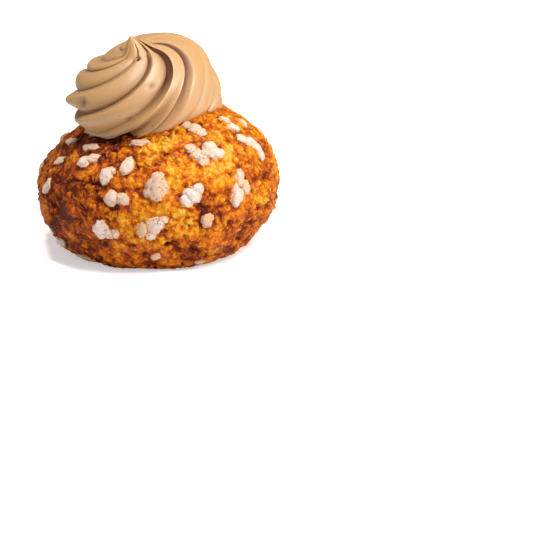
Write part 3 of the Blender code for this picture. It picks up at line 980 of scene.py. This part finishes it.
def crust_crossing(frame, rib):
    """The climb at which the cream sinks into the crust."""
    low, high = LOWEST_CLIMB, HIGHEST_CLIMB
    for _ in range(HALVINGS):
        climb = (low + high) / 2
        if above_crust(cream_point(frame, climb, rib)) < -SUNK:
            low = climb
        else:
            high = climb
    return high


def crust_way(point):
    """The direction of a point from the middle of the bun's widest level."""
    return from_middle(point).normalized()


def draw_tube(bm, points, rings):
    """Draws a tube of rings one unit apart, with the underside's rings below z = 0."""
    bmesh.ops.create_circle(bm, segments=points, radius=1)
    bmesh.ops.translate(bm, vec=(0, 0, -UNDERSIDE_RINGS), verts=bm.verts)
    rim = bm.edges[:]
    for _ in range(UNDERSIDE_RINGS + rings):
        drawn = bmesh.ops.extrude_edge_only(bm, edges=rim)["geom"]
        raised = {item for item in drawn if isinstance(item, bmesh.types.BMVert)}
        bmesh.ops.translate(bm, vec=(0, 0, 1), verts=list(raised))
        edges = (item for item in drawn if isinstance(item, bmesh.types.BMEdge))
        rim = [edge for edge in edges if raised.issuperset(edge.verts)]


def dented(point, frame, bubbles):
    """The point moved in where a bubble burst, with a low rim round it, and the dent's painted
    shade.
    """
    inward = (frame @ Vector((0, 0, DENTS_AIM * SWIRL_HEIGHT)) - point).normalized()
    moved = 0.0
    for middle, radius, depth in bubbles:
        away = (point - middle).length / radius
        if away < DENT_REACH:
            rim = math.exp(-(((away - RIM_RADIUS) / RIM_WIDTH) ** 2))
            moved += depth * (math.exp(-2 * away**2) - DENT_RIM * rim)
    ripple = RIPPLE * noise.noise(point / RIPPLE_SPAN)
    return point + inward * (moved + ripple), DENT_PAINTED_SHADE * max(0.0, moved / MM)


class PUFF_OT_cream(bpy.types.Operator):
    """Makes the piped swirl of coffee cream"""

    bl_idname = "puff.cream"
    bl_label = "Cream"

    def execute(self, context):
        cream = context.scene.puff_cream
        frame = swirl_frame()
        steps = len(GROOVES) * cream.points
        crossings = [crust_crossing(frame, step / cream.points) for step in range(steps)]
        bubbles = [
            (cream_point(frame, climb, rib_place(climb, flute)), radius, depth)
            for flute, climb, radius, depth in BUBBLES
        ]
        under = crust_way(SWIRL_FOOT)
        bm = bmesh.new()
        draw_tube(bm, steps, cream.rings)
        shaded = bm.verts.layers.float.new("shade")
        for vert in bm.verts:
            turn, ring = math.atan2(vert.co.y, vert.co.x) % (2 * math.pi), vert.co.z
            step = round(turn * steps / (2 * math.pi)) % steps
            rib, start = step / cream.points, crossings[step]
            if ring < 0:
                edge = crust_way(cream_point(frame, start, rib))
                inward = under.lerp(edge, 1 + ring / UNDERSIDE_RINGS).normalized()
                vert.co = standing(crust_point(inward, -SUNK))
                continue
            climb = min(1.0, start + (1 - start) * ring / cream.rings)
            # The shade attribute is painted shade, in the grooves and in the bubbles' dents.
            vert.co, dark = dented(cream_point(frame, climb, rib), frame, bubbles)
            vert[shaded] = dark + rib_form(climb, rib)[2] * min(1.0, TIP_FADE * (1 - climb))
        bmesh.ops.remove_doubles(bm, verts=bm.verts, dist=WELD)
        bmesh.ops.recalc_face_normals(bm, faces=bm.faces)
        settle_piece("cream", bm, "cream_swirl", cream_material(cream))
        return {"FINISHED"}


def cream_material(cream):
    """Coffee cream: smooth and satin, slightly translucent, with fine dark flecks."""
    material, tree, shader, place = new_material(
        "coffee cream", Specular_IOR_Level=1.0, Subsurface_Weight=0.4,
        Subsurface_Radius=(1.0, 0.6, 0.35), Subsurface_Scale=1.0 * MM,
    )
    shade = attribute(tree, "shade")
    tint = combine(tree, "ADD", mottle(tree, place, over=5.0, amount=0.5), 0.5, clamp=True)
    specks = flecks(tree, place, spacing=1.7, radius=0.24, share=0.5)
    specks = combine(tree, "MULTIPLY", specks, 0.7)
    darker, paler = (tuple(share * c for c in cream.body) for share in (0.93, 1.06))
    colour = blend_colours(tree, tint, darker, paler)
    # Painted shade: the colour goes towards the deep colour where the shade attribute is high.
    shaded = combine(tree, "MULTIPLY", shade, 1.0, clamp=True)
    colour = blend_colours(tree, shaded, colour, cream.deep)
    colour = blend_colours(tree, specks, colour, cream.fleck)
    tree.links.new(colour, shader.inputs["Base Color"])
    roughness = combine(tree, "MULTIPLY_ADD", shade, 0.4, 0.43, clamp=True)
    tree.links.new(roughness, shader.inputs["Roughness"])
    bump(tree, shader, mottle(tree, place, over=1.4, amount=1.0, detail=2.0), 0.03 * MM)
    return material


# --- Studio ----------------------------------------------------------------------------------

PICTURE_WIDTH = 540
# Lights: name, place and size.
LIGHTS = (
    ("key", (0.30, -0.34, 0.70), 0.22),
    ("top", (-0.14, 0.10, 0.85), 0.13),
    ("side", (0.68, -0.25, 0.44), 0.40),
)
AIM = Vector((0, 0, 30 * MM))
FLOOR_RADIUS = 4
FLOOR_GAP = 0.05 * MM
# Where the floor starts to turn white for the camera and where it is white, in millimetres.
GLOW_NEAR, GLOW_FAR = 120.0, 600.0


class PUFF_OT_studio(bpy.types.Operator):
    """Sets up the floor, the lights and the camera"""

    bl_idname = "puff.studio"
    bl_label = "Studio"

    def execute(self, context):
        studio = context.scene.puff_studio
        add_floor(studio)
        add_surroundings(context.scene, studio)
        for name, place, size in LIGHTS:
            add_light(name, place, size, getattr(studio, f"{name}_power"))
        add_camera(context.scene, studio)
        return {"FINISHED"}


def add_floor(studio):
    """A wide plain floor that turns white for the camera further out."""
    bm = bmesh.new()
    bmesh.ops.create_circle(bm, cap_ends=True, segments=96, radius=FLOOR_RADIUS)
    bmesh.ops.translate(bm, vec=(0, 0, -FLOOR_GAP), verts=bm.verts)
    floor = add_object("floor", mesh_from("floor", bm))
    material, tree, shader, place = new_material(
        "plain floor", Base_Color=(*studio.floor, 1), Roughness=0.9, Specular_IOR_Level=0.1,
        Emission_Color=(1, 1, 1, 1),
    )
    away = add_node(tree, "ShaderNodeVectorMath", {0: place}, operation="LENGTH")
    glow = span(tree, away.outputs["Value"], GLOW_NEAR, GLOW_FAR, studio.floor_glow, 1.0)
    seen = add_node(tree, "ShaderNodeLightPath").outputs["Is Camera Ray"]
    tree.links.new(combine(tree, "MULTIPLY", seen, glow), shader.inputs["Emission Strength"])
    floor.data.materials.append(material)


def add_surroundings(scene, studio):
    """White all round: soft light, and a white background for the camera."""
    scene.world = bpy.data.worlds.new("surroundings")
    scene.world.use_nodes = True
    tree = scene.world.node_tree
    ground = tree.nodes["Background"]
    ground.inputs["Color"].default_value = (1, 1, 1, 1)
    seen = add_node(tree, "ShaderNodeLightPath").outputs["Is Camera Ray"]
    strength = span(tree, seen, 0.0, 1.0, studio.surroundings, 1.0)
    tree.links.new(strength, ground.inputs["Strength"])
    scene.view_settings.view_transform = "Standard"


def turn_to(item, target):
    """Turns a light or a camera so that it looks at a point."""
    item.rotation_euler = (target - item.location).to_track_quat("-Z", "Y").to_euler()


def add_light(name, place, size, power):
    """A square soft light aimed at the bun."""
    data = bpy.data.lights.new(name, "AREA")
    data.size = size
    data.energy = power
    light = add_object(name, data)
    light.location = place
    turn_to(light, AIM)


def add_camera(scene, studio):
    """A camera whose picture has the target where the settings say."""
    data = bpy.data.cameras.new("camera")
    data.lens = studio.lens
    camera = add_object("camera", data)
    away = PICTURE_WIDTH * studio.pixel * studio.lens / data.sensor_width
    down = studio.elevation
    target = Vector(studio.target)
    camera.location = target + away * Vector((0, -math.cos(down), math.sin(down)))
    upward = Vector((0, math.sin(down), math.cos(down)))
    middle = target + Vector((1, 0, 0)) * (PICTURE_WIDTH / 2 - studio.across) * studio.pixel
    middle += upward * (studio.down - PICTURE_WIDTH / 2) * studio.pixel
    turn_to(camera, middle)
    scene.camera = camera


# --- Add-on ----------------------------------------------------------------------------------


class PUFF_PT_panel(bpy.types.Panel):
    """Lists the pieces of the cream puff"""

    bl_label = "Cream puff"
    bl_idname = "PUFF_PT_panel"
    bl_space_type = "VIEW_3D"
    bl_region_type = "UI"
    bl_category = "Cream puff"

    def draw(self, context):
        for group, operator in (
            ("puff_crust", "puff.crust"),
            ("puff_sugar", "puff.sugar"),
            ("puff_cream", "puff.cream"),
            ("puff_studio", "puff.studio"),
        ):
            box = self.layout.box()
            settings = getattr(context.scene, group)
            for name in settings.__annotations__:
                box.prop(settings, name)
            box.operator(operator)


SETTINGS = {
    "puff_crust": CrustSettings,
    "puff_sugar": SugarSettings,
    "puff_cream": CreamSettings,
    "puff_studio": StudioSettings,
}
CLASSES = (
    *SETTINGS.values(), PUFF_OT_crust, PUFF_OT_sugar, PUFF_OT_cream, PUFF_OT_studio, PUFF_PT_panel,
)


def register():
    for cls in CLASSES:
        bpy.utils.register_class(cls)
    for name, cls in SETTINGS.items():
        setattr(bpy.types.Scene, name, PointerProperty(type=cls))


def unregister():
    for name in SETTINGS:
        delattr(bpy.types.Scene, name)
    for cls in reversed(CLASSES):
        bpy.utils.unregister_class(cls)


def main():
    register()
    bpy.ops.puff.crust()
    bpy.ops.puff.sugar()
    bpy.ops.puff.cream()
    bpy.ops.puff.studio()


if __name__ == "__main__":
    main()
